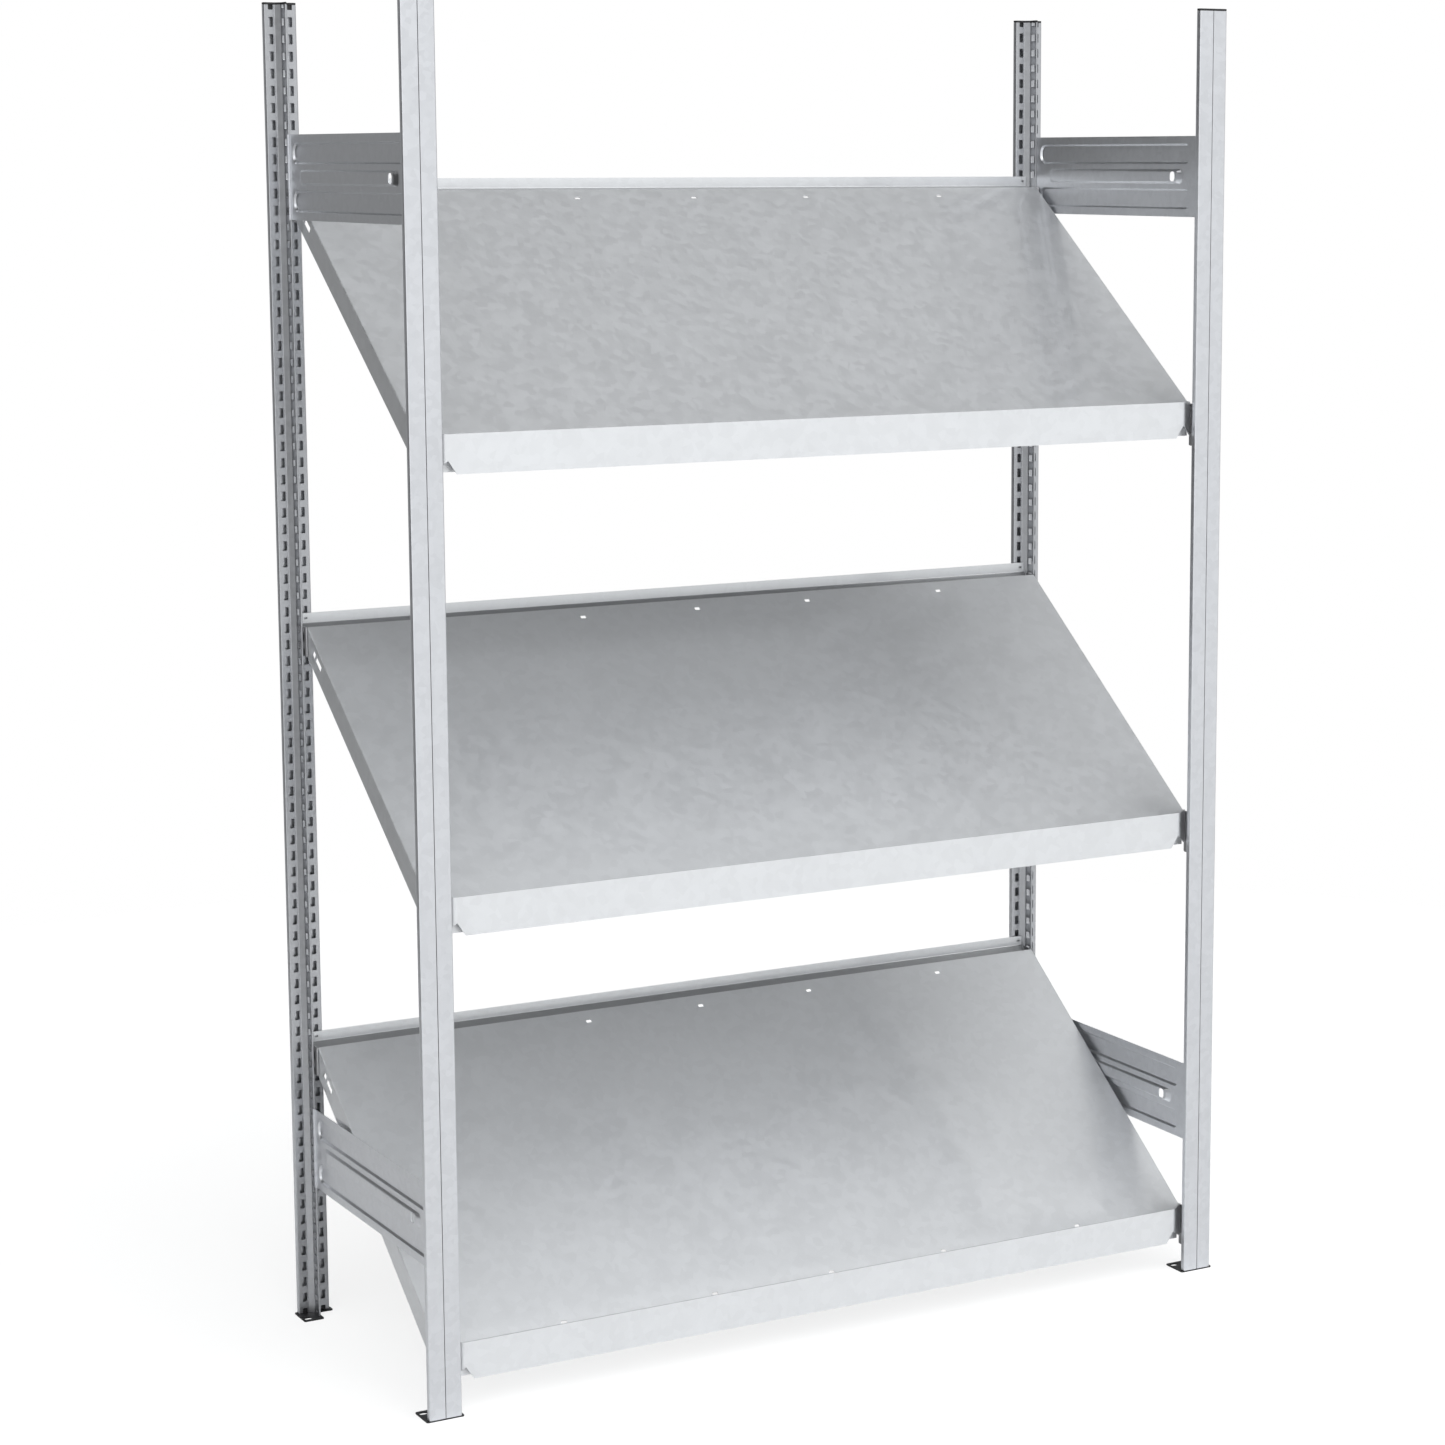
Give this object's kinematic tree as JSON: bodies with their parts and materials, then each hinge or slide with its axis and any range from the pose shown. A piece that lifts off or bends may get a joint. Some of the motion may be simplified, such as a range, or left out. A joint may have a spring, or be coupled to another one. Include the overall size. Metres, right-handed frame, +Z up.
{
  "type": "slanted shelving unit",
  "caption": "Free-standing galvanised steel shelving unit with sloping shelves that present goods towards a front lip, held by clips between perforated T uprights.",
  "frame": {"origin": "on the floor, under the middle of the unit's outline", "axes": "+Z up, +X along the shelves to the right as seen from the front, -Y to the front, towards which the shelves slope down"},
  "size_m": [1.364, 0.536, 2.0056],
  "materials": {
    "upright_steel": "galvanised, with a fine spangle",
    "shelf_steel": "galvanised, smooth and softly reflecting",
    "clip_steel": "dark zinc-plated steel",
    "black_plastic": "black moulded plastic"
  },
  "bodies": {
    "root": {"upright_front_left": "upright_steel", "upright_front_right": "upright_steel", "upright_rear_left": "upright_steel", "upright_rear_right": "upright_steel", "end_cap_front_left": "black_plastic", "end_cap_front_right": "black_plastic", "end_cap_rear_left": "black_plastic", "end_cap_rear_right": "black_plastic", "foot_plate_front_left": "black_plastic", "foot_plate_front_right": "black_plastic", "foot_plate_rear_left": "black_plastic", "foot_plate_rear_right": "black_plastic", "tie_bar_lower_left": "upright_steel", "tie_bar_lower_right": "upright_steel", "tie_bar_upper_left": "upright_steel", "tie_bar_upper_right": "upright_steel", "shelf_lower": "shelf_steel", "shelf_middle": "shelf_steel", "shelf_upper": "shelf_steel", "clip_lower_front_left": "clip_steel", "clip_lower_front_right": "clip_steel", "clip_lower_rear_left": "clip_steel", "clip_lower_rear_right": "clip_steel", "clip_middle_front_left": "clip_steel", "clip_middle_front_right": "clip_steel", "clip_middle_rear_left": "clip_steel", "clip_middle_rear_right": "clip_steel", "clip_upper_front_left": "clip_steel", "clip_upper_front_right": "clip_steel", "clip_upper_rear_left": "clip_steel", "clip_upper_rear_right": "clip_steel"}
  },
  "joints": []
}
